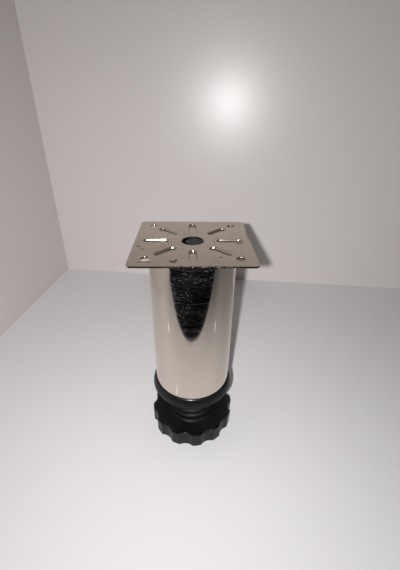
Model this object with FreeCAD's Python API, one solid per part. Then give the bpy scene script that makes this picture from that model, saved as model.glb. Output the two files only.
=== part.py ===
import FreeCAD, Part
import math
import os

from FreeCAD import Vector

# Adjustable cabinet leg, in millimetres. +Z is up, and the origin lies on the floor under the leg's axis.
# The foot is drawn part way out, with a named gap between its hand wheel and the collar of the tube.

# Mounting plate: pressed sheet with grooves that stand out below as ribs
plate_side = 65.0
plate_thickness = 1.0
plate_corner_radius = 2.5
screw_edge_distance = 8.5
screw_hole_d = 4.6
screw_hole_chamfer = 0.4
centre_hole_d = 12.5
groove_count = 8
groove_width = 4.6
groove_depth = 1.05
groove_draft = 0.5
groove_hole_distance = 6.95
groove_edge_distance = 4.5
rib_wall = 0.7

# Leg tube, notched at its upper rim where the plate's ribs are welded in
tube_d = 50.8
tube_wall = 1.0
tube_length = 99.0
rib_clearance = 0.1

# Tube insert: a flange outside the tube, and a cored barrel inside it
flange_overhang = 2.2
flange_height = 6.7
flange_shoulder_width = 1.2
flange_shoulder_height = 1.1
barrel_length = 30.0
barrel_clearance = 0.05
shell_wall = 1.8
sleeve_wall = 2.0
coring_floor = 1.0
insert_rib_count = 8
insert_rib_thickness = 1.6

# Levelling foot: a hollow stem with a coarse thread, on a lobed hand wheel
# The thread is turned as rings at its pitch, along the stretch that shows below the collar as drawn.
thread_d = 36.0
thread_depth = 1.3
thread_pitch = 5.0
thread_gap = 2.2
thread_gap_count = 4
thread_clearance = 0.3
stem_engagement = 22.0
stem_wall = 2.6
stem_roof = 2.4
stem_base_flare = 1.3
stem_base_height = 1.1
neck_height = 3.2
wheel_d = 58.8
wheel_height = 11.6
wheel_edge_chamfer = 0.4
wheel_roof = 3.0
wheel_rim = 3.0
lobe_count = 14
lobe_first_angle = -84.5
lobe_corner_radius = 1.2
flute_depth = 1.7
flute_radius = 4.0
foot_rib_count = 7
foot_rib_thickness = 2.0
foot_rib_recess = 1.0

# Gap between hand wheel and flange as drawn
rest_gap = 25.7

# Levels, from the floor up
flange_bottom = wheel_height + rest_gap
tube_bottom = flange_bottom + flange_height
barrel_top = tube_bottom + barrel_length
stem_top = flange_bottom + stem_engagement
plate_bottom = tube_bottom + tube_length
plate_top = plate_bottom + plate_thickness

# Radii that pieces share
tube_outer_r = tube_d / 2
tube_inner_r = tube_outer_r - tube_wall
thread_r = thread_d / 2
core_r = thread_r - thread_depth
stem_bore_r = core_r - stem_wall
insert_bore_r = thread_r + thread_clearance
wheel_r = wheel_d / 2

UP = Vector(0, 0, 1)
ORIGIN = Vector(0, 0, 0)
OVERCUT = 1.0


def polar(radius, angle, z=0.0):
    """Point at a radius and an angle in degrees round the leg's axis."""
    turn = math.radians(angle)
    return Vector(radius * math.cos(turn), radius * math.sin(turn), z)


def cylinder(radius, low, high):
    """Solid cylinder on the leg's axis between two levels."""
    return Part.makeCylinder(radius, high - low, Vector(0, 0, low))


def turned(points):
    """Solid of revolution from (radius, level) corners in order."""
    corners = [Vector(radius, 0, level) for radius, level in points]
    face = Part.Face(Part.makePolygon(corners + corners[:1]))
    return face.revolve(ORIGIN, UP, 360)


def around(solid, count, first=0.0):
    """Copies of a solid, evenly spaced round the leg's axis."""
    copies = []
    for index in range(count):
        copy = solid.copy()
        copy.rotate(ORIGIN, UP, first + index * 360.0 / count)
        copies.append(copy)
    return copies


def slot_wire(start, end, width, level):
    """Outline of a round-ended slot that runs outward along +X."""
    half = width / 2
    near = start + half
    far = end - half
    lower = Part.makeLine(Vector(near, -half, level), Vector(far, -half, level))
    outer = Part.Arc(Vector(far, -half, level), Vector(end, 0, level), Vector(far, half, level))
    upper = Part.makeLine(Vector(far, half, level), Vector(near, half, level))
    inner = Part.Arc(Vector(near, half, level), Vector(start, 0, level), Vector(near, -half, level))
    return Part.Wire([lower, outer.toShape(), upper, inner.toShape()])


def groove_outline(grow, level):
    """Outline of one radial groove at a level, grown all round by a wall, or shrunk if negative."""
    start = centre_hole_d / 2 + groove_hole_distance - grow
    end = plate_side / 2 - groove_edge_distance + grow
    return slot_wire(start, end, groove_width + 2 * grow, level)


def plate_grooves():
    """Grooves pressed into the plate, with drafted ends and sides."""
    mouth = groove_outline(0.0, plate_top)
    floor = groove_outline(-groove_draft, plate_top - groove_depth)
    return around(Part.makeLoft([mouth, floor], True, True), groove_count)


def plate_ribs(clearance=0.0):
    """The backs of the pressed grooves, as they stand out below the plate."""
    back = Part.Face(groove_outline(rib_wall + clearance, plate_bottom))
    return around(back.extrude(UP * -(groove_depth + clearance)), groove_count)


def screw_holes():
    """Holes at the plate's four corners, eased at the top."""
    hole_r = screw_hole_d / 2
    mouth = Part.makeCone(hole_r, hole_r + screw_hole_chamfer, screw_hole_chamfer)
    mouth.translate(Vector(0, 0, plate_top - screw_hole_chamfer))
    hole = cylinder(hole_r, plate_bottom - OVERCUT, plate_top).fuse(mouth)
    reach = plate_side / 2 - screw_edge_distance
    holes = []
    for x in (-reach, reach):
        for y in (-reach, reach):
            copy = hole.copy()
            copy.translate(Vector(x, y, 0))
            holes.append(copy)
    return holes


def mounting_plate():
    """Square plate with rounded corners, four screw holes, a centre hole and radial grooves."""
    half = plate_side / 2
    sheet = Part.makeBox(plate_side, plate_side, plate_thickness, Vector(-half, -half, plate_bottom))
    uprights = [edge for edge in sheet.Edges if edge.BoundBox.ZLength > plate_thickness / 2]
    sheet = sheet.makeFillet(plate_corner_radius, uprights)
    sheet = sheet.cut(cylinder(centre_hole_d / 2, plate_bottom - OVERCUT, plate_top + OVERCUT))
    pressed = sheet.fuse(plate_ribs())
    return pressed.cut(plate_grooves() + screw_holes()).removeSplitter()


def leg_tube():
    """Round tube, notched for the plate's ribs."""
    wall = cylinder(tube_outer_r, tube_bottom, plate_bottom)
    wall = wall.cut(cylinder(tube_inner_r, tube_bottom, plate_bottom))
    return wall.cut(plate_ribs(rib_clearance))


def tube_insert():
    """Flanged plug with a bore for the stem, cored between its shell and its sleeve."""
    shell_r = tube_inner_r - barrel_clearance
    flange_r = tube_outer_r + flange_overhang
    plug = turned([
        (insert_bore_r, flange_bottom),
        (flange_r, flange_bottom),
        (flange_r, tube_bottom - flange_shoulder_height),
        (flange_r - flange_shoulder_width, tube_bottom),
        (shell_r, tube_bottom),
        (shell_r, barrel_top),
        (insert_bore_r, barrel_top),
    ])
    core_low = tube_bottom + coring_floor
    coring = cylinder(shell_r - shell_wall, core_low, barrel_top + OVERCUT)
    coring = coring.cut(cylinder(insert_bore_r + sleeve_wall, core_low, barrel_top + OVERCUT))
    rib = Part.makeBox(
        shell_r,
        insert_rib_thickness,
        barrel_length + 2 * OVERCUT,
        Vector(0, -insert_rib_thickness / 2, tube_bottom),
    )
    return plug.cut(coring.cut(around(rib, insert_rib_count)))


def lobed_wire(level):
    """Outline of the hand wheel: lobes on its outer circle, flutes between them, rounded corners."""
    flute_centre_r = wheel_r - flute_depth + flute_radius
    corner_r = wheel_r - lobe_corner_radius
    reach = flute_radius + lobe_corner_radius
    spread = math.degrees(math.acos(
        (corner_r**2 + flute_centre_r**2 - reach**2) / (2 * corner_r * flute_centre_r)
    ))
    pitch = 360.0 / lobe_count
    edges = []
    for index in range(lobe_count):
        flute_angle = lobe_first_angle + (index - 0.5) * pitch
        flute_centre = polar(flute_centre_r, flute_angle, level)
        before = polar(corner_r, flute_angle - spread, level)
        after = polar(corner_r, flute_angle + spread, level)
        into_flute = before + (flute_centre - before).normalize() * lobe_corner_radius
        out_of_flute = after + (flute_centre - after).normalize() * lobe_corner_radius
        lobe_start = polar(wheel_r, flute_angle + spread, level)
        lobe_top = polar(wheel_r, flute_angle + pitch / 2, level)
        lobe_end = polar(wheel_r, flute_angle + pitch - spread, level)
        last_lobe_end = polar(wheel_r, flute_angle - spread, level)
        flute_floor = polar(wheel_r - flute_depth, flute_angle, level)
        edges.append(rounded_corner(before, last_lobe_end, into_flute))
        edges.append(Part.Arc(into_flute, flute_floor, out_of_flute).toShape())
        edges.append(rounded_corner(after, out_of_flute, lobe_start))
        edges.append(Part.Arc(lobe_start, lobe_top, lobe_end).toShape())
    return Part.Wire(edges)


def rounded_corner(centre, start, end):
    """Short arc round a centre, from one tangent point to the next."""
    middle = ((start + end) * 0.5 - centre).normalize() * lobe_corner_radius
    return Part.Arc(start, centre + middle, end).toShape()


def foot_stem():
    """Stem with a neck that flares out onto the hand wheel, and the thread's rings above it."""
    sunk_level = wheel_height - wheel_roof / 2
    neck_top = wheel_height + neck_height
    half_gap = thread_gap / 2
    corners = [
        (0, sunk_level),
        (core_r + stem_base_flare, sunk_level),
        (core_r + stem_base_flare, wheel_height),
        (core_r, wheel_height + stem_base_height),
        (core_r, neck_top),
        (thread_r, neck_top + half_gap),
    ]
    for index in range(thread_gap_count):
        level = neck_top + (index + 1) * thread_pitch
        corners += [(thread_r, level - half_gap), (core_r, level), (thread_r, level + half_gap)]
    return turned(corners + [(thread_r, stem_top), (0, stem_top)])


def wheel_hollow():
    """The space cored out of the hand wheel from below, between its rim, its hub and its ribs."""
    roof_level = wheel_height - wheel_roof
    pocket = cylinder(wheel_r - flute_depth - wheel_rim, -OVERCUT, roof_level)
    pocket = pocket.cut(cylinder(core_r, foot_rib_recess, roof_level))
    rib = Part.makeBox(
        wheel_r,
        foot_rib_thickness,
        roof_level - foot_rib_recess,
        Vector(0, -foot_rib_thickness / 2, foot_rib_recess),
    )
    return pocket.cut(around(rib, foot_rib_count, lobe_first_angle))


def levelling_foot():
    """One moulding: threaded stem, lobed hand wheel, hollow inside and open below."""
    wheel = Part.Face(lobed_wire(0.0)).extrude(UP * wheel_height)
    upper_rim = [edge for edge in wheel.Edges if edge.BoundBox.ZMin > wheel_height / 2]
    wheel = wheel.makeChamfer(wheel_edge_chamfer, upper_rim)
    foot = wheel.fuse(foot_stem())
    stem_bore = cylinder(stem_bore_r, -OVERCUT, stem_top - stem_roof)
    return foot.cut([wheel_hollow(), stem_bore]).removeSplitter()


def main():
    pieces = {
        "mounting_plate": mounting_plate(),
        "leg_tube": leg_tube(),
        "tube_insert": tube_insert(),
        "levelling_foot": levelling_foot(),
    }
    os.makedirs("parts", exist_ok=True)
    for name, shape in pieces.items():
        shape.exportStep(f"parts/{name}.step")
        box = shape.BoundBox
        print(
            f"{name}: valid {shape.isValid()}, solids {len(shape.Solids)}, volume {shape.Volume:.1f} mm3, "
            f"z {box.ZMin:.2f} to {box.ZMax:.2f}"
        )


main()
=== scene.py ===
import logging
import math
from dataclasses import dataclass, field
from enum import Enum
from functools import cached_property
from typing import Callable

import bmesh
import bpy
from bmesh.types import BMEdge, BMesh, BMVert
from bpy.types import Material, Node, NodeSocket, NodeTree, Object
from mathutils import Matrix, Vector


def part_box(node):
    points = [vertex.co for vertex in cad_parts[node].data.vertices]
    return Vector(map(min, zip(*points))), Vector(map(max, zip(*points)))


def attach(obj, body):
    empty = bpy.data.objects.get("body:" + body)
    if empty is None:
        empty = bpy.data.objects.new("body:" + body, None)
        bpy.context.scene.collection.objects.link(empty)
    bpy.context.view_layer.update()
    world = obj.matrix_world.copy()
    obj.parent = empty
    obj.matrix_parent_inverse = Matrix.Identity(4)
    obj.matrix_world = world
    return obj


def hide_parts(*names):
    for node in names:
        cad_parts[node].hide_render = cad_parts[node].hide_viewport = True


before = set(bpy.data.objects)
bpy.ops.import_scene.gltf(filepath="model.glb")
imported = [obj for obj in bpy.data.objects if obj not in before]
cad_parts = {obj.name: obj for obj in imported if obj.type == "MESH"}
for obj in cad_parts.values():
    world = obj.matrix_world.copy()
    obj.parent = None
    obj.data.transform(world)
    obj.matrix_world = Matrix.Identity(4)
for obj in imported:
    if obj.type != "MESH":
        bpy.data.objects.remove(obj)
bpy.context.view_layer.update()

LOG = logging.getLogger("cabinet_leg")
MM = 0.001
FULL_TURN = 2.0 * math.pi
QUARTER_TURN = math.pi / 2
SHARP_ANGLE = math.radians(40.0)
WELD = 1e-6
TOUCH = 2e-5
ORIGIN = (0.0, 0.0, 0.0)
UP = (0.0, 0.0, 1.0)
DOWN = (0.0, 0.0, -1.0)
FLAT = (1.0, 1.0, 0.0)

Place = tuple[float, float, float]
Colour = tuple[float, float, float]
Level = tuple[float, float]
Edges = list[BMEdge]
Move = Callable[[Vector], Vector]


class Body(Enum):
    """Rigid bodies of the leg."""

    LEG = "leg"
    FOOT = "foot"


class Slot(Enum):
    """Finishes that the leg's record names."""

    SHEET = "plated_sheet"
    TUBE = "plated_tube"
    PLASTIC = "black_plastic"


class Mask(Enum):
    """Node groups that more than one finish uses."""

    LINES = "fine_lines"
    SPECKS = "specks"
    PATCHES = "soft_patches"
    SCUFF = "scuff_mark"


class Graph:
    """Short calls for making and joining shader nodes in one tree."""

    def __init__(self, tree: NodeTree) -> None:
        """Take the tree that the nodes go into."""
        self.tree = tree

    def node(self, kind: str, **settings: object) -> Node:
        """Add a node.

        Args:
            kind: Its type name without ShaderNode.
            settings: Its properties by name.

        Returns:
            The node.
        """
        made = self.tree.nodes.new("ShaderNode" + kind)
        for name, value in settings.items():
            setattr(made, name, value)
        return made

    def feed(self, target: NodeSocket, source: object) -> None:
        """Link an input socket, or set its value.

        Args:
            target: The input socket.
            source: An output socket, or a plain value.
        """
        if isinstance(source, NodeSocket):
            self.tree.links.new(source, target)
        else:
            target.default_value = source

    def fill(self, node: Node, **values: object) -> Node:
        """Feed a node's inputs by name.

        Args:
            node: The node.
            values: What goes into each input, with underscores for spaces.

        Returns:
            The node.
        """
        for name, value in values.items():
            self.feed(node.inputs[name.replace("_", " ")], value)
        return node

    def chain(self, node: Node, values: tuple[object, ...]) -> Node:
        """Feed a node's inputs in order.

        Args:
            node: The node.
            values: What goes into each input.

        Returns:
            The node.
        """
        for socket, value in zip(node.inputs, values):
            self.feed(socket, value)
        return node

    def maths(self, operation: str, *values: object) -> NodeSocket:
        """Work on one to three numbers."""
        return self.chain(self.node("Math", operation=operation), values).outputs[0]

    def times(self, first: object, second: object) -> NodeSocket:
        """Multiply two numbers."""
        return self.maths("MULTIPLY", first, second)

    def plus(self, first: object, second: object) -> NodeSocket:
        """Add two numbers."""
        return self.maths("ADD", first, second)

    def minus(self, first: object, second: object) -> NodeSocket:
        """Take a number from another."""
        return self.maths("SUBTRACT", first, second)

    def most(self, *values: object) -> NodeSocket:
        """Find the largest of some numbers.

        Args:
            values: The numbers.

        Returns:
            The largest one's socket.
        """
        largest = values[0]
        for value in values[1:]:
            largest = self.maths("MAXIMUM", largest, value)
        return largest

    def vector(self, operation: str, *values: object) -> NodeSocket:
        """Work on vectors, and return the vector that comes out."""
        return self.chain(self.node("VectorMath", operation=operation), values).outputs[0]

    def stretch(self, vector: object, factors: Place) -> NodeSocket:
        """Scale a vector's three numbers apart."""
        return self.vector("MULTIPLY", vector, factors)

    def length(self, vector: object) -> NodeSocket:
        """Return the length of a vector."""
        return self.chain(self.node("VectorMath", operation="LENGTH"), (vector,)).outputs["Value"]

    def off_axis(self, place: object) -> NodeSocket:
        """Return how far a place is from the leg's axis."""
        return self.length(self.stretch(place, FLAT))

    def split(self, vector: object) -> list[NodeSocket]:
        """Return a vector's three numbers."""
        return list(self.chain(self.node("SeparateXYZ"), (vector,)).outputs)

    def join(self, x: object, y: object) -> NodeSocket:
        """Make a flat vector of two numbers."""
        return self.chain(self.node("CombineXYZ"), (x, y)).outputs[0]

    def remap(
        self, value: object, low: object, high: object, start: object = 0.0, end: object = 1.0
    ) -> NodeSocket:
        """Map a range smoothly onto another.

        Args:
            value: What is mapped.
            low: Where the range starts.
            high: Where the range ends.
            start: The result at the range's start.
            end: The result at the range's end.

        Returns:
            The mapped value's socket.
        """
        made = self.node("MapRange", interpolation_type="SMOOTHSTEP")
        self.fill(made, Value=value, From_Min=low, From_Max=high, To_Min=start, To_Max=end)
        return made.outputs["Result"]

    def noise(self, vector: object, scale: object, detail: float = 2.0, rough: float = 0.5) -> NodeSocket:
        """Return a noise value for a place, about 0.5 in the middle.

        Args:
            vector: The place.
            scale: Waves to the unit.
            detail: Octaves of finer noise.
            rough: How strong the finer noise is.

        Returns:
            The noise value's socket.
        """
        made = self.node("TexNoise")
        return self.fill(made, Vector=vector, Scale=scale, Detail=detail, Roughness=rough).outputs["Fac"]

    def blend(self, factor: object, first: object, second: object) -> NodeSocket:
        """Mix two colours.

        Args:
            factor: How much of the second colour shows.
            first: A colour or a socket.
            second: A colour or a socket.

        Returns:
            The mixed colour's socket.
        """
        made = self.fill(self.node("Mix", data_type="RGBA"), Factor=factor)
        for socket, source in zip((made.inputs[6], made.inputs[7]), (first, second)):
            self.feed(socket, (*source, 1.0) if isinstance(source, tuple) else source)
        return made.outputs[2]

    def group(self, kind: Mask, **values: object) -> NodeSocket:
        """Place a shared node group, fill its inputs by name and return its mask."""
        made = self.node("Group", node_tree=bpy.data.node_groups[kind.value])
        return self.fill(made, **values).outputs["Mask"]


class MaskGroups:
    """The shared node groups, each made once."""

    def make_all(self) -> None:
        """Make every group."""
        self.lines()
        self.specks()
        self.patches()
        self.scuff()

    def start(
        self, kind: Mask, **inputs: float | None
    ) -> tuple[Graph, dict[str, NodeSocket], NodeSocket]:
        """Open a new group with a Vector input, number inputs and a Mask output.

        Args:
            kind: Which group it is.
            inputs: Number inputs by name, with their usual values, or None for a second vector.

        Returns:
            The group's graph, its inputs by name and the socket for its mask.
        """
        tree = bpy.data.node_groups.new(kind.value, "ShaderNodeTree")
        for name, value in {"Vector": None, **inputs}.items():
            socket_type = "NodeSocketVector" if value is None else "NodeSocketFloat"
            made = tree.interface.new_socket(name.replace("_", " "), in_out="INPUT", socket_type=socket_type)
            if value is not None:
                made.default_value = value
        tree.interface.new_socket("Mask", in_out="OUTPUT", socket_type="NodeSocketFloat")
        given = {socket.name: socket for socket in tree.nodes.new("NodeGroupInput").outputs}
        return Graph(tree), given, tree.nodes.new("NodeGroupOutput").inputs["Mask"]

    def lines(self) -> None:
        """Long thin lines where a stretched noise crosses its middle value."""
        graph, given, mask = self.start(Mask.LINES, Width=0.02, Cover=0.5)
        place, softness, gap_scale = given["Vector"], 0.1, 0.23
        near = graph.maths("ABSOLUTE", graph.minus(graph.noise(place, 1.0, 3.0), 0.5))
        line = graph.remap(near, 0.0, given["Width"], 1.0, 0.0)
        cover = graph.minus(1.0, given["Cover"])
        where = graph.noise(place, gap_scale, 1.0)
        shown = graph.remap(where, graph.minus(cover, softness), graph.plus(cover, softness))
        graph.feed(mask, graph.times(line, shown))

    def specks(self) -> None:
        """Small round specks, in a share of the cells of a cell pattern."""
        graph, given, mask = self.start(Mask.SPECKS, Scale=1000.0, Size=0.2, Share=0.3)
        cells = graph.node("TexVoronoi", feature="F1")
        graph.fill(cells, Vector=given["Vector"], Scale=given["Scale"])
        dot = graph.remap(cells.outputs["Distance"], 0.0, given["Size"], 1.0, 0.0)
        pick = graph.chain(graph.node("SeparateColor"), (cells.outputs["Color"],)).outputs[0]
        graph.feed(mask, graph.times(dot, graph.maths("LESS_THAN", pick, given["Share"])))

    def patches(self) -> None:
        """Broad soft patches."""
        graph, given, mask = self.start(Mask.PATCHES, Scale=40.0, Low=0.45, High=0.7)
        value = graph.noise(given["Vector"], given["Scale"], 4.0, 0.55)
        graph.feed(mask, graph.remap(value, given["Low"], given["High"]))

    def scuff(self) -> None:
        """One worn streak: an oval round a place, broken up by noise."""
        graph, given, mask = self.start(
            Mask.SCUFF, Centre=None, Turn=0.0, Half_Length=0.003, Half_Width=0.001
        )
        ragged_scale, ragged_depth, fade = 1400.0, 1.2, (0.55, 1.05)
        turned = graph.fill(
            graph.node("VectorRotate", rotation_type="Z_AXIS"),
            Vector=graph.vector("SUBTRACT", given["Vector"], given["Centre"]),
            Angle=graph.times(given["Turn"], -1.0),
        )
        along, across, _ = graph.split(turned.outputs[0])
        oval = graph.join(
            graph.maths("DIVIDE", along, given["Half Length"]),
            graph.maths("DIVIDE", across, given["Half Width"]),
        )
        ragged = graph.times(graph.minus(graph.noise(given["Vector"], ragged_scale), 0.5), ragged_depth)
        graph.feed(mask, graph.remap(graph.plus(graph.length(oval), ragged), *fade, 1.0, 0.0))


def new_material(name: str) -> tuple[Material, Graph, Node, NodeSocket]:
    """Start a material on Object coordinates.

    Args:
        name: The material's name.

    Returns:
        The material, its graph, its Principled shader and the Object coordinate's socket.
    """
    material = bpy.data.materials.new(name)
    material.use_nodes = True
    graph = Graph(material.node_tree)
    shader = material.node_tree.nodes["Principled BSDF"]
    return material, graph, shader, graph.node("TexCoord").outputs["Object"]


def add_bump(graph: Graph, shader: Node, *heights: tuple[object, float]) -> None:
    """Chain Bump nodes into a shader's normal.

    Args:
        graph: The material's graph.
        shader: The Principled shader.
        heights: Height sockets, each with its relief in metres.
    """
    normals = {}
    for height, relief in heights:
        bump = graph.fill(graph.node("Bump"), Strength=1.0, Distance=relief, Height=height, **normals)
        normals = {"Normal": bump.outputs["Normal"]}
    graph.fill(shader, **normals)


@dataclass(frozen=True)
class Scuff:
    """A worn mark: its place and size in millimetres, and its turn in degrees."""

    x: float
    y: float
    turn: float
    half_length: float
    half_width: float

    def mask(self, graph: Graph, place: NodeSocket) -> NodeSocket:
        """Place the mark.

        Args:
            graph: The material's graph.
            place: The flat place that the mark lies in.

        Returns:
            The mask's socket.
        """
        return graph.group(
            Mask.SCUFF,
            Vector=place,
            Centre=(self.x * MM, self.y * MM, 0.0),
            Turn=math.radians(self.turn),
            Half_Length=self.half_length * MM,
            Half_Width=self.half_width * MM,
        )


def marks_mask(graph: Graph, place: NodeSocket, marks: tuple[Scuff, ...]) -> NodeSocket:
    """Join the masks of worn marks into one."""
    return graph.most(*(mark.mask(graph, place) for mark in marks))


@dataclass(frozen=True)
class PolishedTube:
    """Polished nickel plate with fine lines round the tube, pits and three painted highlight streaks."""

    colour: Colour = (0.665, 0.595, 0.52)
    worn_colour: Colour = (0.5, 0.555, 0.66)
    streak_highlight_colour: Colour = (0.95, 0.92, 0.88)
    # Painted shade of the tube's hollow inside.
    hollow_shade_colour: Colour = (0.036, 0.037, 0.042)
    roughness: float = 0.06
    haze_roughness: float = 0.05
    dull_roughness: float = 0.5
    worn_dullness: float = 0.09
    film_dullness: float = 0.04
    pit_dullness: float = 0.5
    inside_dullness: float = 0.7
    streak_highlight_share: float = 0.4
    polish_grain: Place = (30.0, 30.0, 4200.0)
    film_grain: Place = (45.0, 45.0, 9500.0)
    scratch_runs: tuple[Place, ...] = ((26.0, 4600.0, 0.03), (80.0, 9500.0, 0.035))
    break_ratios: Level = (4.0, 0.2)
    polish_relief: float = 0.0000012
    scratch_relief: float = 0.000004
    pit_relief: float = 0.00001
    # Painted highlights: three bright streaks that stand in for glints of reflected light.
    streaks: tuple[Scuff, ...] = (
        Scuff(-14.5, 99.0, 90.0, 5.0, 0.5),
        Scuff(13.5, 100.0, 90.0, 5.5, 0.45),
        Scuff(-10.3, 50.0, 90.0, 6.5, 0.6),
    )
    rubbed: tuple[Scuff, ...] = (Scuff(-7.5, 124.0, 90.0, 24.0, 8.0), Scuff(0.0, 135.0, 0.0, 18.0, 10.0))

    def scratch_mask(
        self, graph: Graph, place: NodeSocket, along: float, up: float, width: float
    ) -> NodeSocket:
        """Return a mask of broken scratches round the tube.

        Args:
            graph: The material's graph.
            place: The Object coordinate's socket.
            along: How quickly a scratch bends on its way round.
            up: How closely the scratches follow each other up the tube.
            width: Their width, as a share of the pattern's step.

        Returns:
            The mask's socket.
        """
        lines = graph.stretch(place, (along, along, up))
        break_along, break_up = along * self.break_ratios[0], up * self.break_ratios[1]
        breaks = graph.stretch(place, (break_along, break_along, break_up))
        return graph.times(
            graph.group(Mask.LINES, Vector=lines, Width=width, Cover=0.45),
            graph.group(Mask.PATCHES, Vector=breaks, Scale=1.0, Low=0.42, High=0.6),
        )

    def front_mask(self, graph: Graph, place: NodeSocket, marks: tuple[Scuff, ...]) -> NodeSocket:
        """Place marks on the tube's front, by arc and level.

        Args:
            graph: The material's graph.
            place: The Object coordinate's socket.
            marks: The marks.

        Returns:
            The mask's socket.
        """
        x, y, level = graph.split(place)
        turn = graph.maths("ARCTAN2", x, graph.times(y, -1.0))
        return marks_mask(graph, graph.join(graph.times(turn, LegTube().half_width), level), marks)

    def material(self) -> Material:
        """Make the tube's material.

        Returns:
            The material.
        """
        material, graph, shader, place = new_material("polished_nickel_tube")
        tube = LegTube()
        polish = graph.noise(graph.stretch(place, self.polish_grain), 1.0, 3.0)
        scratches = graph.most(*(self.scratch_mask(graph, place, *run) for run in self.scratch_runs))
        rubbed = self.front_mask(graph, place, self.rubbed)
        specks = graph.group(Mask.SPECKS, Vector=place, Scale=1100.0, Size=0.36, Share=0.3)
        pits = graph.times(specks, rubbed)
        fine = graph.stretch(place, self.film_grain)
        film = graph.times(rubbed, graph.group(Mask.LINES, Vector=fine, Width=0.045, Cover=0.55))
        # Painted highlight: the streaks turn bright and dull on top of the metal.
        painted_highlight = graph.times(self.front_mask(graph, place, self.streaks), self.streak_highlight_share)
        haze = graph.group(Mask.PATCHES, Vector=place, Scale=45.0, Low=0.42, High=0.75)
        # Painted shade: the hollow inside is painted near black, and is also duller than the outside.
        inner, middle = tube.half_width - tube.wall, tube.half_width - tube.wall / 2
        inside = graph.remap(graph.off_axis(place), inner, middle, 1.0, 0.0)
        colour = graph.blend(graph.most(scratches, pits, film), self.colour, self.worn_colour)
        colour = graph.blend(painted_highlight, colour, self.streak_highlight_colour)
        colour = graph.blend(inside, colour, self.hollow_shade_colour)
        dull = graph.times(scratches, self.worn_dullness)
        for mask, amount in ((pits, self.pit_dullness), (film, self.film_dullness)):
            dull = graph.maths("MULTIPLY_ADD", mask, amount, dull)
        dull = graph.most(dull, painted_highlight, graph.times(inside, self.inside_dullness))
        rough = graph.plus(self.roughness, graph.times(haze, self.haze_roughness))
        rough = graph.plus(rough, graph.times(dull, self.dull_roughness))
        graph.fill(shader, Base_Color=colour, Metallic=graph.minus(1.0, dull), Roughness=rough)
        reliefs = (polish, self.polish_relief), (scratches, self.scratch_relief), (pits, self.pit_relief)
        add_bump(graph, shader, *reliefs)
        return material


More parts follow.
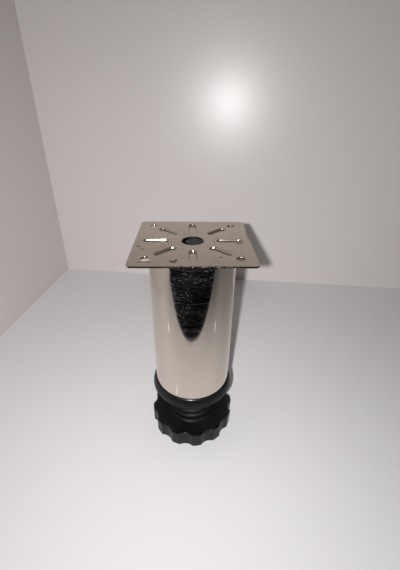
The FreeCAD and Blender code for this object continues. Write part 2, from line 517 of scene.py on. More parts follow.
@dataclass(frozen=True)
class SatinSheet:
    """Satin nickel plate on pressed sheet, with handling scratches and brown scuffs."""

    colour: Colour = (0.62, 0.54, 0.465)
    dull_colour: Colour = (0.55, 0.475, 0.405)
    scuff_colour: Colour = (0.17, 0.115, 0.08)
    sheared_colour: Colour = (0.09, 0.075, 0.065)
    dull_share: float = 0.6
    pit_share: float = 0.5
    scuff_share: float = 0.9
    chip_share: float = 0.85
    roughness: float = 0.2
    dull_roughness: float = 0.1
    worn_roughness: float = 0.25
    pressed_share: float = 0.8
    pressed_range: Level = (0.15 * MM, 0.05 * MM)
    sheared_range: Level = (0.06 * MM, 0.02 * MM)
    across_grain: Place = (30.0, 420.0, 30.0)
    along_grain: Place = (520.0, 45.0, 30.0)
    grain_scale: float = 2600.0
    chip_range: Level = (1.6 * MM, 0.2 * MM)
    grain_relief: float = 0.000004
    scratch_relief: float = 0.000008
    chip_relief: float = 0.00015
    scuffs: tuple[Scuff, ...] = (
        Scuff(-10.3, -27.4, -34.0, 2.7, 1.2),
        Scuff(-8.6, -26.0, 70.0, 2.0, 0.9),
        Scuff(26.2, -3.5, 6.0, 2.4, 1.0),
        Scuff(-29.2, -8.3, 20.0, 1.3, 0.9),
        Scuff(-26.8, -11.9, -30.0, 1.0, 0.8),
        Scuff(-26.4, -28.0, 4.0, 1.8, 0.5),
        Scuff(-22.1, -27.9, -6.0, 1.7, 0.5),
        Scuff(14.0, -22.4, 0.0, 1.2, 0.7),
    )
    chipped: tuple[Scuff, ...] = (Scuff(4.0, -32.5, 0.0, 19.0, 2.6), Scuff(32.5, 9.0, 90.0, 10.0, 1.6))

    def edge_masks(self, graph: Graph, place: NodeSocket) -> tuple[NodeSocket, NodeSocket]:
        """Find the sheared edge and the chips beside it.

        Args:
            graph: The material's graph.
            place: The Object coordinate's socket.

        Returns:
            The sheared edge's mask and the chips' mask.
        """
        half = MountingPlate().half_width
        x, y, _ = graph.split(graph.vector("ABSOLUTE", place))
        reach = graph.most(x, y)
        sheared, band = (
            graph.remap(reach, half - low, half - high) for low, high in (self.sheared_range, self.chip_range)
        )
        flecks = graph.group(Mask.PATCHES, Vector=place, Scale=620.0, Low=0.46, High=0.53)
        broken = graph.times(flecks, marks_mask(graph, graph.stretch(place, FLAT), self.chipped))
        return graph.times(sheared, graph.minus(1.0, broken)), graph.times(band, broken)

    def material(self) -> Material:
        """Make the plate's material.

        Returns:
            The material.
        """
        material, graph, shader, place = new_material("satin_nickel_sheet")
        across = graph.stretch(place, self.across_grain)
        along = graph.stretch(place, self.along_grain)
        scratches = graph.most(
            graph.group(Mask.LINES, Vector=across, Width=0.02, Cover=0.4),
            graph.group(Mask.LINES, Vector=along, Width=0.012, Cover=0.3),
        )
        grain = graph.noise(place, self.grain_scale)
        dull = graph.group(Mask.PATCHES, Vector=place, Scale=55.0, Low=0.4, High=0.75)
        pits = graph.group(Mask.SPECKS, Vector=place, Scale=420.0, Size=0.2, Share=0.1)
        scuffs = marks_mask(graph, place, self.scuffs)
        sheared, chips = self.edge_masks(graph, place)
        colour = graph.blend(graph.times(dull, self.dull_share), self.colour, self.dull_colour)
        for mask, share in ((pits, self.pit_share), (scuffs, self.scuff_share), (chips, self.chip_share)):
            colour = graph.blend(graph.times(mask, share), colour, self.scuff_colour)
        colour = graph.blend(sheared, colour, self.sheared_colour)
        rough = graph.plus(self.roughness, graph.times(dull, self.dull_roughness))
        for mask in (scuffs, sheared):
            rough = graph.plus(rough, graph.times(mask, self.worn_roughness))
        depths = (MountingPlate().high.z - depth for depth in self.pressed_range)
        rough = graph.times(rough, graph.remap(graph.split(place)[2], *depths, self.pressed_share, 1.0))
        graph.fill(shader, Base_Color=colour, Roughness=rough, Metallic=1.0)
        reliefs = (grain, self.grain_relief), (scratches, self.scratch_relief), (chips, self.chip_relief)
        add_bump(graph, shader, *reliefs)
        return material


@dataclass(frozen=True)
class MouldedPlastic:
    """Black moulded plastic with a fine grain, a little dust, and a sheen where hands rub it."""

    colour: Colour = (0.005, 0.005, 0.0056)
    dust_colour: Colour = (0.11, 0.105, 0.1)
    film_share: float = 0.04
    dust_share: float = 0.35
    roughness: float = 0.45
    rubbed_roughness: float = 0.14
    specular: float = 0.12
    sheen: float = 0.26
    sheen_roughness: float = 0.22
    rim_range: Level = (8.0 * MM, 9.4 * MM)
    collar_range: Level = (6.0 * MM, 7.0 * MM)
    collar_levels: Level = (20.0 * MM, 30.0 * MM)
    grain_scale: float = 3200.0
    wave_scale: float = 160.0
    wave_relief: float = 0.00004
    grain_relief: float = 0.000006

    def sheen_mask(self, graph: Graph, place: NodeSocket) -> NodeSocket:
        """Find the wheel's rim and the collar, which lie outside the stem.

        Args:
            graph: The material's graph.
            place: The Object coordinate's socket.

        Returns:
            The mask's socket.
        """
        beside = graph.minus(graph.off_axis(place), LevellingFoot().thread_radius)
        raised = graph.remap(graph.length(graph.stretch(place, UP)), *self.collar_levels)
        collar = graph.times(raised, graph.remap(beside, *self.collar_range))
        return graph.most(graph.remap(beside, *self.rim_range), collar)

    def material(self) -> Material:
        """Make the plastic's material.

        Returns:
            The material.
        """
        material, graph, shader, place = new_material("black_moulded_plastic")
        grain = graph.noise(place, self.grain_scale)
        waviness = graph.noise(place, self.wave_scale)
        rubbed = graph.group(Mask.PATCHES, Vector=place, Scale=70.0, Low=0.42, High=0.75)
        dust = graph.group(Mask.SPECKS, Vector=place, Scale=650.0, Size=0.22, Share=0.1)
        dusty = graph.most(graph.times(rubbed, self.film_share), graph.times(dust, self.dust_share))
        graph.fill(
            shader,
            Base_Color=graph.blend(dusty, self.colour, self.dust_colour),
            Roughness=graph.plus(self.roughness, graph.times(rubbed, self.rubbed_roughness)),
            Coat_Weight=graph.times(self.sheen_mask(graph, place), self.sheen),
            Coat_Roughness=self.sheen_roughness,
            Specular_IOR_Level=self.specular,
        )
        add_bump(graph, shader, (waviness, self.wave_relief), (grain, self.grain_relief))
        return material


def loop_verts(edges: Edges) -> list[BMVert]:
    """Return the vertices of some edges, each once."""
    return list({vert: None for edge in edges for vert in edge.verts})


def linked_edges(verts: list[BMVert]) -> Edges:
    """Return the edges at some vertices, each once."""
    return list({edge: None for vert in verts for edge in vert.link_edges})


def to_level(level: float) -> Move:
    """Return a move straight up or down to a level."""
    return lambda point: Vector((point.x, point.y, level))


def to_circle(radius: float, level: float) -> Move:
    """Return a move onto a circle round the axis at a level."""
    return lambda point: Vector((*(point.xy.normalized() * radius), level))


def grow_loop(mesh: BMesh, edges: Edges, move: Move) -> Edges:
    """Extrude a loop and move its new edge.

    Args:
        mesh: The mesh.
        edges: The loop's edges.
        move: Gives each new vertex its place from its old one.

    Returns:
        The new loop's edges.
    """
    made = bmesh.ops.extrude_edge_only(mesh, edges=edges)["geom"]
    for part in made:
        if isinstance(part, BMVert):
            part.co = move(part.co.copy())
    return [part for part in made if isinstance(part, BMEdge)]


def fill_between(mesh: BMesh, edges: Edges, normal: Place) -> None:
    """Fill the flat face between some loops, whose inner loops become holes in it."""
    bmesh.ops.triangle_fill(mesh, edges=edges, use_beauty=True, use_dissolve=False, normal=normal)


def edges_at_level(mesh: BMesh, level: float, low: float, high: float) -> Edges:
    """Return the edges that lie flat at a level, between two radii.

    Args:
        mesh: The mesh.
        level: Their height.
        low: The smallest radius.
        high: The largest radius.

    Returns:
        The edges found.
    """
    found = []
    for edge in mesh.edges:
        flat = all(abs(vert.co.z - level) < TOUCH for vert in edge.verts)
        inside = all(low - TOUCH <= vert.co.xy.length <= high + TOUCH for vert in edge.verts)
        if flat and inside:
            found.append(edge)
    return found


def round_edges(mesh: BMesh, edges: Edges, radius: float, segments: int) -> None:
    """Bevel edges to a round form.

    Args:
        mesh: The mesh.
        edges: The edges.
        radius: The round's radius.
        segments: Its steps.
    """
    bmesh.ops.bevel(
        mesh,
        geom=edges,
        offset=radius,
        affect="EDGES",
        segments=segments,
        profile=0.5,
        material=-1,
        clamp_overlap=True,
    )


def turn_outline(mesh: BMesh, outline: list[Level], steps: int, turns: int = 1, rise: float = 0.0) -> None:
    """Turn an outline round the leg's axis, into a ring or into a thread.

    Args:
        mesh: The mesh that the surface goes into.
        outline: Its (radius, level) points in order. A ring's outline is closed.
        steps: Facets in all.
        turns: Whole turns.
        rise: How far up each facet moves on a thread, or 0 for a ring.
    """
    thread = rise > 0.0
    verts = [mesh.verts.new((radius, 0.0, level)) for radius, level in outline]
    pairs = zip(verts, verts[1:]) if thread else zip(verts[-1:] + verts, verts)
    edges = [mesh.edges.new(pair) for pair in pairs]
    bmesh.ops.spin(
        mesh,
        geom=verts + edges,
        cent=ORIGIN,
        axis=UP,
        dvec=(0.0, 0.0, rise),
        angle=FULL_TURN * turns,
        steps=steps,
        use_merge=not thread,
        use_normal_flip=False,
        use_duplicate=False,
    )
    bmesh.ops.remove_doubles(mesh, verts=mesh.verts, dist=WELD * 10 if thread else WELD)


def add_webs(mesh: BMesh, count: int, first: float, low: Vector, high: Vector) -> None:
    """Add boxes that stand round the axis like spokes.

    Args:
        mesh: The mesh.
        count: How many.
        first: The first one's direction in radians.
        low: Low corner of a web that points along X.
        high: Its high corner.
    """
    size = Matrix.Diagonal((*(high - low), 1.0))
    middle = Matrix.Translation((low + high) / 2)
    for index in range(count):
        turn = Matrix.Rotation(first + index * FULL_TURN / count, 4, "Z")
        bmesh.ops.create_cube(mesh, size=1.0, matrix=turn @ middle @ size)


def to_object(name: str, mesh: BMesh, material: Material) -> Object:
    """Make a shape into an object of the scene.

    Args:
        name: The object's name.
        mesh: Its shape, which is freed.
        material: Its finish.

    Returns:
        The object.
    """
    data = bpy.data.meshes.new(name)
    mesh.to_mesh(data)
    mesh.free()
    data.materials.append(material)
    made = bpy.data.objects.new(name, data)
    bpy.context.scene.collection.objects.link(made)
    return made


class Piece:
    """A piece that stands for a solid of the leg, and takes its size from the solid's box."""

    name: str
    node: str
    slot: Slot
    body = Body.LEG

    @cached_property
    def low(self) -> Vector:
        """Low corner of the solid's box."""
        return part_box(self.node)[0]

    @cached_property
    def high(self) -> Vector:
        """High corner of the solid's box."""
        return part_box(self.node)[1]

    @property
    def half_width(self) -> float:
        """Half of the solid's width, which is a round solid's radius."""
        return (self.high.x - self.low.x) / 2

    def shape(self) -> BMesh:
        """Return the piece's shape, which each kind of piece makes its own way."""
        raise NotImplementedError

    def build(self, material: Material) -> Object:
        """Make the piece, smooth shaded, which moves with its body.

        Args:
            material: Its finish.

        Returns:
            The piece.
        """
        mesh = self.shape()
        bmesh.ops.recalc_face_normals(mesh, faces=mesh.faces)
        piece = to_object(self.name, mesh, material)
        piece.data.shade_smooth()
        piece.data.set_sharp_from_angle(angle=SHARP_ANGLE)
        piece.modifiers.new("weighted_normals", "WEIGHTED_NORMAL").keep_sharp = True
        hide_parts(self.node)
        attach(piece, self.body.value)
        LOG.info("%s: %d faces", self.name, len(piece.data.polygons))
        return piece


@dataclass
class PressedLoop:
    """A closed outline on the plate: a circle, or one pulled apart into a slot or a rounded square."""

    radius: float
    half_x: float = 0.0
    half_y: float = 0.0
    place: Matrix = field(default_factory=Matrix)
    segments: int = 48

    def edges(self, mesh: BMesh, level: float) -> Edges:
        """Add the outline to a mesh.

        Args:
            mesh: The mesh.
            level: The level.

        Returns:
            The outline's edges.
        """
        half_step = Matrix.Rotation(math.pi / self.segments, 4, "Z")
        made = bmesh.ops.create_circle(mesh, segments=self.segments, radius=self.radius, matrix=half_step)
        verts = made["verts"]
        for vert in verts:
            x, y = math.copysign(self.half_x, vert.co.x), math.copysign(self.half_y, vert.co.y)
            vert.co += Vector((x, y, 0.0))
        bmesh.ops.transform(mesh, matrix=Matrix.Translation((0.0, 0.0, level)) @ self.place, verts=verts)
        return linked_edges(verts)

    def moved(self, point: Vector, amount: float, level: float) -> Vector:
        """Move a point of the outline square to it.

        Args:
            point: The point.
            amount: How far inwards from the outline it ends up, or outwards if negative.
            level: The level it ends up at.

        Returns:
            Its new place.
        """
        local = self.place.inverted() @ Vector((point.x, point.y, 0.0))
        x = max(-self.half_x, min(self.half_x, local.x))
        y = max(-self.half_y, min(self.half_y, local.y))
        spine = Vector((x, y, 0.0))
        made = self.place @ (spine + (local - spine).normalized() * (self.radius - amount))
        return Vector((made.x, made.y, level))

    def inset(self, amount: float, level: float) -> Move:
        """Return a move to a level, and inwards from the outline or outwards if negative."""
        return lambda point: self.moved(point, amount, level)


@dataclass
class MountingPlate(Piece):
    """Square pressed plate with holes, and grooves that stand out below as ribs."""

    name = "mounting_plate_sheet"
    node = "mounting_plate"
    slot = Slot.SHEET
    corner_radius: float = 2.5 * MM
    thickness: float = 1.0 * MM
    edge_rounding: float = 0.05 * MM
    screw_hole_radius: float = 2.3 * MM
    screw_edge_distance: float = 8.5 * MM
    centre_hole_radius: float = 6.25 * MM
    hole_rounding: float = 0.4 * MM
    centre_bevel: float = 0.4 * MM
    groove_count: int = 8
    groove_half_width: float = 2.3 * MM
    groove_hole_distance: float = 6.95 * MM
    groove_edge_distance: float = 4.5 * MM
    groove_draft: float = 0.4 * MM
    groove_lip: float = 0.35 * MM
    rib_wall: float = 0.7 * MM
    round_steps: int = 4

    @property
    def underside(self) -> float:
        """Level of the plate's flat underside."""
        return self.high.z - self.thickness

    def rims(self) -> list[tuple[PressedLoop, float, int]]:
        """Return the plate's outer edge and its holes.

        Returns:
            Each outline, with how far outside it the rounding starts (inside if negative) and
            the rounding's steps.
        """
        reach = self.half_width - self.corner_radius
        rims = [
            (PressedLoop(self.corner_radius, reach, reach), -self.edge_rounding, self.round_steps),
            (PressedLoop(self.centre_hole_radius), self.centre_bevel, 1),
        ]
        reach = self.half_width - self.screw_edge_distance
        for x in (-reach, reach):
            for y in (-reach, reach):
                loop = PressedLoop(self.screw_hole_radius, place=Matrix.Translation((x, y, 0.0)))
                rims.append((loop, self.hole_rounding, self.round_steps))
        return rims

    def grooves(self, grow: float) -> list[PressedLoop]:
        """Lay out the grooves, or the ribs that they make below.

        Args:
            grow: How far the outlines are grown all round.

        Returns:
            The outlines.
        """
        start = self.centre_hole_radius + self.groove_hole_distance
        end = self.half_width - self.groove_edge_distance
        middle = Matrix.Translation(((start + end) / 2, 0.0, 0.0))
        half_run = (end - start) / 2 - self.groove_half_width
        loops = []
        for index in range(self.groove_count):
            turn = Matrix.Rotation(index * FULL_TURN / self.groove_count, 4, "Z")
            loops.append(PressedLoop(self.groove_half_width + grow, half_run, 0.0, turn @ middle))
        return loops

    def mouth(self, mesh: BMesh, loop: PressedLoop, outwards: float) -> Edges:
        """Add an outline's edge to the top face.

        Args:
            mesh: The plate's mesh.
            loop: The outline.
            outwards: How far outside it the edge lies, or inside if negative.

        Returns:
            The edge.
        """
        edges = loop.edges(mesh, self.high.z)
        move = loop.inset(-outwards, self.high.z)
        for vert in loop_verts(edges):
            vert.co = move(vert.co)
        return edges

    def round_over(self, mesh: BMesh, loop: PressedLoop, edges: Edges, start: float, steps: int) -> Edges:
        """Roll an edge over from flat to upright, in small steps downwards.

        Args:
            mesh: The plate's mesh.
            loop: The outline that the edge follows.
            edges: The edge as it is.
            start: How far outside the outline the edge lies, or inside if negative. It sets the radius.
            steps: Steps of the round, or 1 for a flat bevel.

        Returns:
            The edge at the bottom of the round.
        """
        for step in range(1, steps + 1):
            angle = step / steps * QUARTER_TURN
            level = self.high.z - abs(start) * (1.0 - math.cos(angle))
            edges = grow_loop(mesh, edges, loop.inset(start * (math.sin(angle) - 1.0), level))
        return edges

    def press_groove(self, mesh: BMesh, loop: PressedLoop, edges: Edges) -> None:
        """Sink a groove: a soft lip, a steep drafted wall and a flat floor with a soft corner.

        Args:
            mesh: The plate's mesh.
            loop: The groove's outline.
            edges: The groove's edge on the top face.
        """
        lip, depth = self.groove_lip, self.underside - self.low.z
        draft = math.atan2(self.groove_draft, depth)
        angles = [step / self.round_steps * (QUARTER_TURN - draft) for step in range(self.round_steps + 1)]
        path = [(lip * math.sin(angle), lip * (1.0 - math.cos(angle))) for angle in angles[1:]]
        inset_end, fall_end = path[-1]
        floor_start = inset_end + (depth - 2 * fall_end) * math.tan(draft)
        path.append((floor_start, depth - fall_end))
        for angle in reversed(angles[:-1]):
            inset = floor_start + inset_end - lip * math.sin(angle)
            path.append((inset, depth - lip * (1.0 - math.cos(angle))))
        for inset, fall in path:
            edges = grow_loop(mesh, edges, loop.inset(inset - lip / 2, self.high.z - fall))
        bmesh.ops.contextual_create(mesh, geom=edges)

    def shape(self) -> BMesh:
        """Make the plate's shape.

        Returns:
            The shape.
        """
        mesh = bmesh.new()
        rims, grooves = self.rims(), self.grooves(0.0)
        rim_mouths = [self.mouth(mesh, loop, start) for loop, start, _ in rims]
        groove_mouths = [self.mouth(mesh, loop, self.groove_lip / 2) for loop in grooves]
        fill_between(mesh, sum(rim_mouths + groove_mouths, []), UP)
        lower = []
        for (loop, start, steps), mouth in zip(rims, rim_mouths):
            wall = self.round_over(mesh, loop, mouth, start, steps)
            lower += grow_loop(mesh, wall, to_level(self.underside))
        for loop, mouth in zip(grooves, groove_mouths):
            self.press_groove(mesh, loop, mouth)
        rib_roots = [loop.edges(mesh, self.underside) for loop in self.grooves(self.rib_wall)]
        fill_between(mesh, sum(rib_roots, lower), DOWN)
        for root in rib_roots:
            bmesh.ops.contextual_create(mesh, geom=grow_loop(mesh, root, to_level(self.low.z)))
        return mesh


@dataclass
class LegTube(Piece):
    """Round tube with softened rims, whose upper rim is notched for the plate's ribs."""

    name = "leg_tube_shell"
    node = "leg_tube"
    slot = Slot.TUBE
    wall: float = 1.0 * MM
    rim_rounding: float = 0.25 * MM
    rim_segments: int = 3
    rib_clearance: float = 0.1 * MM
    steps: int = 192

    def cut_notches(self, mesh: BMesh, plate: MountingPlate, floor: float) -> None:
        """Cut the rim away where the plate's ribs cross it.

        Args:
            mesh: The tube's mesh, with an edge round it at the notches' floor.
            plate: The plate above.
            floor: Level of the notches' floor.
        """
        pitch = FULL_TURN / plate.groove_count
        inner, outer = self.half_width - self.wall, self.half_width
        half_width = plate.groove_half_width + plate.rib_wall + self.rib_clearance
        cut = []
        for face in mesh.faces:
            middle = face.calc_center_median()
            turn = math.atan2(middle.y, middle.x) % pitch
            if middle.z > floor + TOUCH and min(turn, pitch - turn) < math.asin(half_width / inner):
                cut.append(face)
        bmesh.ops.delete(mesh, geom=cut, context="FACES")
        open_edges = [edge for edge in edges_at_level(mesh, floor, outer, outer) if edge.is_boundary]
        grow_loop(mesh, open_edges, to_circle(inner, floor))
        bmesh.ops.remove_doubles(mesh, verts=mesh.verts, dist=TOUCH)
        sides = [edge for edge in mesh.edges if edge.is_boundary]
        bmesh.ops.holes_fill(mesh, edges=sides, sides=0)

    def shape(self) -> BMesh:
        """Make the tube's shape.

        Returns:
            The shape.
        """
        inner, outer = self.half_width - self.wall, self.half_width
        bottom, top = self.low.z, self.high.z
        plate = MountingPlate()
        floor = plate.low.z - self.rib_clearance
        wall = [(inner, bottom), (outer, bottom), (outer, floor), (outer, top), (inner, top), (inner, floor)]
        mesh = bmesh.new()
        turn_outline(mesh, wall, self.steps)
        rims = edges_at_level(mesh, bottom, outer, outer) + edges_at_level(mesh, top, outer, outer)
        round_edges(mesh, rims, self.rim_rounding, self.rim_segments)
        self.cut_notches(mesh, plate, floor)
        return mesh


@dataclass
class TubeInsert(Piece):
    """Flanged plug in the tube's lower end, whose flange shows as a collar."""

    name = "tube_insert_collar"
    node = "tube_insert"
    slot = Slot.PLASTIC
    tube: LegTube
    bore: float = 18.3 * MM
    barrel_clearance: float = 0.05 * MM
    shell_wall: float = 1.8 * MM
    sleeve_wall: float = 2.0 * MM
    coring_floor: float = 1.0 * MM
    rib_count: int = 8
    rib_thickness: float = 1.6 * MM
    rib_overlap: float = 0.3 * MM
    shoulder_arcs: tuple[Level, ...] = (
        (36.0, 0.35 * MM),
        (46.0, 4.3 * MM),
        (66.0, 0.5 * MM),
        (88.0, 14.7 * MM),
    )
    arc_steps: int = 4
    lower_rounding: float = 0.4 * MM
    lower_segments: int = 4
    steps: int = 160

    def shoulder(self) -> list[Level]:
        """Work out the shoulder's outline from the flange's side up to the tube's end.

        Each arc in shoulder_arcs turns the surface from where the last one left it to a
        slope in degrees, with a radius.

        Returns:
            The (radius, level) points.
        """
        turns, slope = [], 0.0
        for final, bend in self.shoulder_arcs:
            turn = math.radians(final) - slope
            for step in range(self.arc_steps):
                turns.append((slope + turn * step / self.arc_steps, turn / self.arc_steps, bend))
            slope += turn
        points = [(self.half_width, 0.0)]
        for slope, turn, bend in reversed(turns):
            radius, rise = points[-1]
            radius -= bend * (math.sin(slope + turn) - math.sin(slope))
            points.append((radius, rise + bend * (math.cos(slope) - math.cos(slope + turn))))
        return [(radius, self.tube.low.z - points[-1][1] + rise) for radius, rise in points]

    def shape(self) -> BMesh:
        """Make the insert's shape.

        Returns:
            The shape.
        """
        flange = self.half_width
        shell = self.tube.half_width - self.tube.wall - self.barrel_clearance
        bottom, top, seat = self.low.z, self.high.z, self.tube.low.z
        inner_shell, sleeve = shell - self.shell_wall, self.bore + self.sleeve_wall
        core_low = seat + self.coring_floor
        outline = [(self.bore, bottom), (flange, bottom), *self.shoulder(), (shell, seat), (shell, top)]
        outline += [(inner_shell, top), (inner_shell, core_low), (sleeve, core_low)]
        outline += [(sleeve, top), (self.bore, top)]
        mesh = bmesh.new()
        turn_outline(mesh, outline, self.steps)
        lower = edges_at_level(mesh, bottom, flange, flange)
        round_edges(mesh, lower, self.lower_rounding, self.lower_segments)
        low = Vector((sleeve - self.rib_overlap, -self.rib_thickness / 2, core_low - self.rib_overlap))
        high = Vector((inner_shell + self.rib_overlap, self.rib_thickness / 2, top))
        add_webs(mesh, self.rib_count, 0.0, low, high)
        return mesh


@dataclass
class LevellingFoot(Piece):
    """Hollow moulding: a lobed hand wheel under a stem with a coarse right-hand thread."""

    name = "levelling_foot_moulding"
    node = "levelling_foot"
    slot = Slot.PLASTIC
    body = Body.FOOT
    wheel_radius: float = 29.2 * MM
    wheel_height: float = 11.6 * MM
    wheel_roof: float = 3.0 * MM
    wheel_rim: float = 2.7 * MM
    edge_rounding: float = 0.8 * MM
    upper_segments: int = 4
    lower_segments: int = 3
    lobe_count: int = 12
    lobe_first_angle: float = -83.6
    lobe_corner: float = 1.2 * MM
    flute_depth: float = 1.8 * MM
    flute_radius: float = 7.7 * MM
    lobe_segments: int = 30
    thread_radius: float = 18.0 * MM
    thread_depth: float = 1.3 * MM
    thread_pitch: float = 5.0 * MM
    front_crest_level: float = 16.6 * MM
    front_turn: float = 0.75
    crest_share: float = 0.34
    flank_share: float = 0.24
    thread_steps: int = 72
    profile_points: int = 16
    stem_wall: float = 2.6 * MM
    stem_roof: float = 2.4 * MM
    base_flare: float = 1.5 * MM
    base_bevel: float = 1.15 * MM
    base_height: float = 1.0 * MM
    neck_height: float = 2.6 * MM
    neck_relief: float = 0.05 * MM
    rib_count: int = 7
    rib_first_angle: float = -84.5
    rib_thickness: float = 2.0 * MM
    rib_recess: float = 1.0 * MM
    rib_overlap: float = 0.4 * MM

    @property
    def core_radius(self) -> float:
        """The stem's radius at the root of its thread."""
        return self.thread_radius - self.thread_depth

    @property
    def pocket_radius(self) -> float:
        """Inside radius of the wheel's rim."""
        return self.wheel_radius - self.flute_depth - self.wheel_rim

    def lobed_radius(self, angle: float) -> float:
        """Find the hand wheel's radius, with flutes between rounded lobes.

        Args:
            angle: The direction in radians.

        Returns:
            The radius.
        """
        pitch = FULL_TURN / self.lobe_count
        turn = abs((angle - math.radians(self.lobe_first_angle)) % pitch - pitch / 2)
        flute_centre = self.wheel_radius - self.flute_depth + self.flute_radius
        corner_centre = self.wheel_radius - self.lobe_corner
        reach = self.flute_radius + self.lobe_corner
        cosine = (corner_centre**2 + flute_centre**2 - reach**2) / (2 * corner_centre * flute_centre)
        spread = math.acos(cosine)
        if turn >= spread:
            return self.wheel_radius
        corner = Vector((corner_centre * math.cos(spread), corner_centre * math.sin(spread)))
        touch = corner + (Vector((flute_centre, 0.0)) - corner).normalized() * self.lobe_corner
        if turn >= math.atan2(touch.y, touch.x):
            off, centre, radius, side = turn - spread, corner_centre, self.lobe_corner, 1.0
        else:
            off, centre, radius, side = turn, flute_centre, self.flute_radius, -1.0
        return centre * math.cos(off) + side * math.sqrt(radius**2 - (centre * math.sin(off)) ** 2)

    def to_lobes(self, level: float) -> Move:
        """Return a move onto the lobed outline at a level."""
        return lambda point: to_circle(self.lobed_radius(math.atan2(point.y, point.x)), level)(point)

    def wheel(self, mesh: BMesh) -> Edges:
        """Build the hollow wheel from the stem's hollow outwards, up to the stem's base.

        Args:
            mesh: The foot's mesh.

        Returns:
            The loop at the top of the stem's neck.
        """
        core, pocket, top = self.core_radius, self.pocket_radius, self.wheel_height
        hollow, roof = core - self.stem_wall, top - self.wheel_roof
        base, neck = core + self.base_flare, core - self.neck_relief
        lift = Matrix.Translation((0.0, 0.0, self.high.z - self.stem_roof))
        made = bmesh.ops.create_circle(
            mesh,
            cap_ends=True,
            segments=self.lobe_count * self.lobe_segments,
            radius=hollow,
            matrix=lift @ Matrix.Rotation(math.radians(self.lobe_first_angle), 4, "Z"),
        )
        loop = linked_edges(made["verts"])
        for move in (
            to_circle(hollow, self.rib_recess),
            to_circle(core, self.rib_recess),
            to_circle(core, roof),
            to_circle(pocket, roof),
            to_circle(pocket, self.low.z),
            self.to_lobes(self.low.z),
            self.to_lobes(top),
            to_circle(base, top),
        ):
            loop = grow_loop(mesh, loop, move)
        for level, segments in ((top, self.upper_segments), (self.low.z, self.lower_segments)):
            rim = edges_at_level(mesh, level, self.wheel_radius - self.flute_depth, self.wheel_radius)
            round_edges(mesh, rim, self.edge_rounding, segments)
        step = top + self.base_height
        loop = edges_at_level(mesh, top, base, base)
        for radius, level in ((base - self.base_bevel, step), (neck, step), (neck, top + self.neck_height)):
            loop = grow_loop(mesh, loop, to_circle(radius, level))
        return loop

    def thread_rise(self, share: float) -> float:
        """Find the thread's height along one pitch.

        Args:
            share: Where in one pitch, from 0 to 1.

        Returns:
            The height as a share of the thread's depth.
        """
        off_crest = abs(share - 0.5) - self.crest_share / 2
        fall = min(max(off_crest / self.flank_share, 0.0), 1.0)
        return 0.5 + 0.5 * math.cos(math.pi * fall)

    def stem(self, mesh: BMesh, base: float) -> None:
        """Wind the thread's outline round the axis and trim it to the stem's ends.

        Args:
            mesh: The foot's mesh, still empty.
            base: Level where the thread starts on the stem's neck.
        """
        start = self.front_crest_level - (0.5 + self.front_turn + 1) * self.thread_pitch
        turns = math.ceil((self.high.z - start) / self.thread_pitch) + 1
        outline = []
        for index in range(self.profile_points + 1):
            share = index / self.profile_points
            radius = self.core_radius + self.thread_depth * self.thread_rise(share)
            outline.append((radius, start + share * self.thread_pitch))
        turn_outline(mesh, outline, turns * self.thread_steps, turns, self.thread_pitch / self.thread_steps)
        for level, normal in ((base, DOWN), (self.high.z, UP)):
            bmesh.ops.bisect_plane(
                mesh,
                geom=mesh.verts[:] + mesh.edges[:] + mesh.faces[:],
                plane_co=(0.0, 0.0, level),
                plane_no=normal,
                clear_outer=True,
            )

    def ribs(self, mesh: BMesh) -> None:
        """Add the webs between hub and rim under the wheel.

        Args:
            mesh: The foot's mesh.
        """
        half, roof = self.rib_thickness / 2, self.wheel_height - self.wheel_roof
        low = Vector((self.core_radius - self.rib_overlap, -half, self.rib_recess))
        high = Vector((self.pocket_radius + self.rib_overlap, half, roof + self.rib_overlap))
        add_webs(mesh, self.rib_count, math.radians(self.rib_first_angle), low, high)

    def shape(self) -> BMesh:
        """Make the foot's shape.

        Returns:
            The shape.
        """
        mesh = bmesh.new()
        base = self.wheel_height + self.neck_height
        self.stem(mesh, base)
        open_edges = [edge for edge in mesh.edges if edge.is_boundary]
        lower = [edge for edge in open_edges if edge.verts[0].co.z < (base + self.high.z) / 2]
        upper = [edge for edge in open_edges if edge not in lower]
        bmesh.ops.contextual_create(mesh, geom=upper)
        fill_between(mesh, lower + self.wheel(mesh), UP)
        self.ribs(mesh)
        return mesh


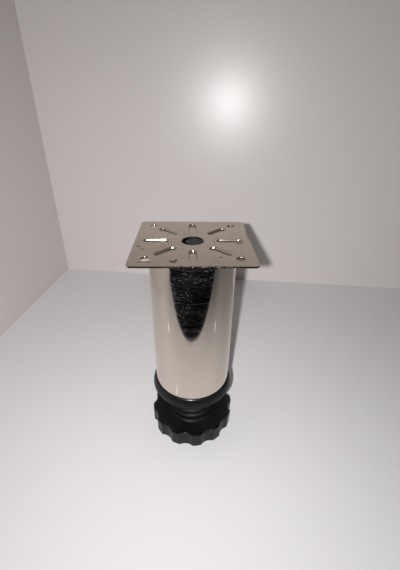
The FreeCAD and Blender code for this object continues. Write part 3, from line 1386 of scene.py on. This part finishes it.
@dataclass
class Studio:
    """Pale floor and walls, a dark card that only reflections show, lights and the camera."""

    floor_colour: Colour = (0.74, 0.72, 0.725)
    wall_colour: Colour = (0.627, 0.587, 0.575)
    floor_sheen: Level = (0.55, 0.3)
    wall_sheen: Level = (0.33, 0.52)
    mirrored_share: float = 0.2
    half_width: float = 1.6
    lit_middle: Place = (0.0, 0.1, 0.0)
    far_range: Level = (0.26, 0.46)
    far_level: float = 0.62
    left: float = -0.205
    back: float = 0.2223
    side_front: float = -0.165
    wall_height: float = 0.9
    wall_turn: float = -7.0
    wall_lean: float = 0.75
    card_colour: Colour = (0.002, 0.002, 0.0025)
    card_edge: float = -0.133
    card_slant: float = 0.05
    card_curve: float = 0.3
    card_blur: float = 0.004
    card_fade: float = -0.03
    card_haze: float = 0.34
    card_back: float = 0.15
    card_side: Level = (0.02, 0.22)
    # Painted shade: the card darkens towards the right, so reflections show a shaded floor there.
    card_right_shade: float = 0.4
    card_lift: float = 0.0004
    sky_colour: Colour = (0.55, 0.53, 0.52)
    sky_strength: float = 0.05
    sky_mirrored: float = 0.35
    sky_seen: float = 0.9
    key_place: Place = (-0.018, -0.195, 0.224)
    key_target: Place = (0.0, 0.0, 0.06)
    key_size: float = 0.006
    key_power: float = 3.05
    camera_place: Place = (-0.0012, -0.169, 0.2127)
    camera_pitch: float = 29.72
    camera_yaw: float = 1.77
    camera_roll: float = 0.89
    focal_pixels: float = 320.5
    frame_height_pixels: float = 570.0
    axis_above_middle_pixels: float = 1.6
    axis_left_of_middle_pixels: float = 0.8
    sensor: float = 36.0
    nearest: float = 0.01

    def surface(
        self, name: str, colour: Colour, roughness: float = 0.5, specular: float = 0.0
    ) -> tuple[Material, Graph, Node, NodeSocket]:
        """Make a plain material for the stage, with a sheen that reflections show less of.

        Args:
            name: The material's name.
            colour: Its colour.
            roughness: How soft its sheen is.
            specular: How strong its sheen is.

        Returns:
            The material, its graph, its shader and the Object coordinate's socket.
        """
        material, graph, shader, place = new_material(name)
        mirrored = graph.node("LightPath").outputs["Is Glossy Ray"]
        sheen = graph.remap(mirrored, 0.0, 1.0, specular, specular * self.mirrored_share)
        graph.fill(shader, Base_Color=(*colour, 1.0), Roughness=roughness, Specular_IOR_Level=sheen)
        return material, graph, shader, place

    def place(self, name: str, mesh: BMesh, material: Material) -> Object:
        """Make a shape into a piece of the stage.

        Args:
            name: Its name.
            mesh: Its shape.
            material: Its material.

        Returns:
            The piece.
        """
        piece = to_object(name, mesh, material)
        return piece

    def sheet(self, mesh: BMesh, *corners: Place) -> None:
        """Add a flat sheet to a stage mesh from its corners."""
        bmesh.ops.contextual_create(mesh, geom=[mesh.verts.new(corner) for corner in corners])

    def level_sheet(self, back: float, level: float) -> BMesh:
        """Make a wide level sheet.

        Args:
            back: Where it ends at the back.
            level: Its level.

        Returns:
            The shape.
        """
        wide, mesh = self.half_width, bmesh.new()
        corners = ((-wide, -wide), (wide, -wide), (wide, back), (-wide, back))
        self.sheet(mesh, *((x, y, level) for x, y in corners))
        return mesh

    def floor(self) -> None:
        """Lay the floor, which stays pale to the camera out beyond the lamp's reach."""
        board, graph, shader, place = self.surface("pale_floor_board", self.floor_colour, *self.floor_sheen)
        away = graph.length(graph.vector("SUBTRACT", place, self.lit_middle))
        far = graph.remap(away, *self.far_range, 0.0, self.far_level)
        seen = graph.times(far, graph.node("LightPath").outputs["Is Camera Ray"])
        graph.fill(shader, Emission_Color=(*self.floor_colour, 1.0), Emission_Strength=seen)
        self.place("pale_floor", self.level_sheet(self.half_width, 0.0), board)

    def walls(self) -> None:
        """Stand the pale back wall and a short side wall on the floor."""
        left, right, back = self.left, self.half_width, self.back
        near, top = self.side_front, self.wall_height
        tilt = math.radians(self.wall_lean)
        mesh = bmesh.new()
        self.sheet(mesh, (left, back, 0.0), (right, back, 0.0), (right, back, top), (left, back, top))
        foot = Matrix.Translation((0.0, back, 0.0))
        lean = foot @ Matrix.Rotation(-tilt, 4, "X") @ foot.inverted()
        bmesh.ops.transform(mesh, matrix=lean, verts=mesh.verts)
        upper = back + top * math.tan(tilt)
        self.sheet(mesh, (left, near, 0.0), (left, back, 0.0), (left, upper, top), (left, near, top))
        turn = Matrix.Rotation(math.radians(self.wall_turn), 4, "Z")
        bmesh.ops.transform(mesh, matrix=turn, verts=mesh.verts)
        self.place("pale_walls", mesh, self.surface("pale_wall_board", self.wall_colour, *self.wall_sheen)[0])

    def card(self) -> None:
        """Lay the dark card in front of the leg, which only mirror-like surfaces see."""
        mesh = self.level_sheet(self.card_back, self.card_lift)
        piece = self.place("dark_card", mesh, self.card_surface())
        for ray in ("camera", "diffuse", "shadow", "transmission"):
            setattr(piece, f"visible_{ray}", False)

    def card_surface(self) -> Material:
        """Make the card's dark matt material, which fades out towards the leg and carries a painted shade
        towards the right.

        Returns:
            The material.
        """
        material, graph, shader, place = self.surface("dark_matt", self.card_colour)
        x, y, _ = graph.split(place)
        bend = graph.times(x, graph.maths("MULTIPLY_ADD", x, self.card_curve, self.card_slant))
        reach = graph.plus(y, bend)
        haze = graph.remap(reach, self.card_edge, self.card_fade, self.card_haze, 0.0)
        # Painted shade: darker towards the right, standing in for the floor's shadow seen in reflections.
        side = graph.remap(x, *self.card_side, 0.0, self.card_right_shade)
        edge = graph.remap(reach, self.card_edge - self.card_blur, self.card_edge + self.card_blur, 1.0, 0.0)
        shade = graph.most(graph.plus(haze, side), edge)
        graph.fill(shader, Alpha=graph.maths("MINIMUM", shade, 1.0))
        return material

    def sky(self) -> None:
        """Set a dim sky, which reflections and the camera see brighter."""
        world = bpy.data.worlds.new("soft_sky")
        world.use_nodes = True
        graph = Graph(world.node_tree)
        rays = graph.node("LightPath").outputs
        strength = graph.remap(rays["Is Glossy Ray"], 0.0, 1.0, self.sky_strength, self.sky_mirrored)
        strength = graph.remap(rays["Is Camera Ray"], 0.0, 1.0, strength, self.sky_seen)
        graph.fill(world.node_tree.nodes["Background"], Color=(*self.sky_colour, 1.0), Strength=strength)
        bpy.context.scene.world = world

    def lamp(self) -> None:
        """Set the lamp beside the camera, which fades slowly with distance."""
        data = bpy.data.lights.new("key_light", "AREA")
        data.shape = "DISK"
        data.size = self.key_size
        data.energy = self.key_power
        data.use_nodes = True
        graph = Graph(data.node_tree)
        falloff = graph.fill(graph.node("LightFalloff"), Strength=1.0)
        graph.fill(data.node_tree.nodes["Emission"], Strength=falloff.outputs["Linear"])
        lamp = bpy.data.objects.new("key_light", data)
        lamp.location = self.key_place
        aim = Vector(self.key_target) - Vector(self.key_place)
        lamp.rotation_euler = aim.to_track_quat("-Z", "Y").to_euler()
        bpy.context.scene.collection.objects.link(lamp)

    def camera(self) -> None:
        """Set the camera where the photograph was taken from."""
        data = bpy.data.cameras.new("view_camera")
        data.sensor_width = self.sensor
        data.lens = self.focal_pixels * self.sensor / self.frame_height_pixels
        data.shift_x = self.axis_left_of_middle_pixels / self.frame_height_pixels
        data.shift_y = -self.axis_above_middle_pixels / self.frame_height_pixels
        data.clip_start = self.nearest
        camera = bpy.data.objects.new("view_camera", data)
        level = Matrix.Rotation(QUARTER_TURN, 4, "X")
        yaw = Matrix.Rotation(-math.radians(self.camera_yaw), 4, "Z")
        pitch = Matrix.Rotation(-math.radians(self.camera_pitch), 4, "X")
        roll = Matrix.Rotation(math.radians(self.camera_roll), 4, "Z")
        camera.matrix_world = Matrix.Translation(self.camera_place) @ yaw @ pitch @ level @ roll
        bpy.context.scene.collection.objects.link(camera)
        bpy.context.scene.camera = camera

    def build(self) -> None:
        """Make the whole stage."""
        self.floor()
        self.walls()
        self.card()
        self.sky()
        self.lamp()
        self.camera()
        bpy.context.scene.view_settings.view_transform = "Standard"


def main() -> None:
    """Build the leg's pieces, dress them and set the stage."""
    logging.basicConfig(level=logging.INFO, format="%(message)s")
    MaskGroups().make_all()
    plastic = MouldedPlastic().material()
    tube = LegTube()
    MountingPlate().build(SatinSheet().material())
    tube.build(PolishedTube().material())
    TubeInsert(tube).build(plastic)
    LevellingFoot().build(plastic)
    Studio().build()


if __name__ == "__main__":
    main()
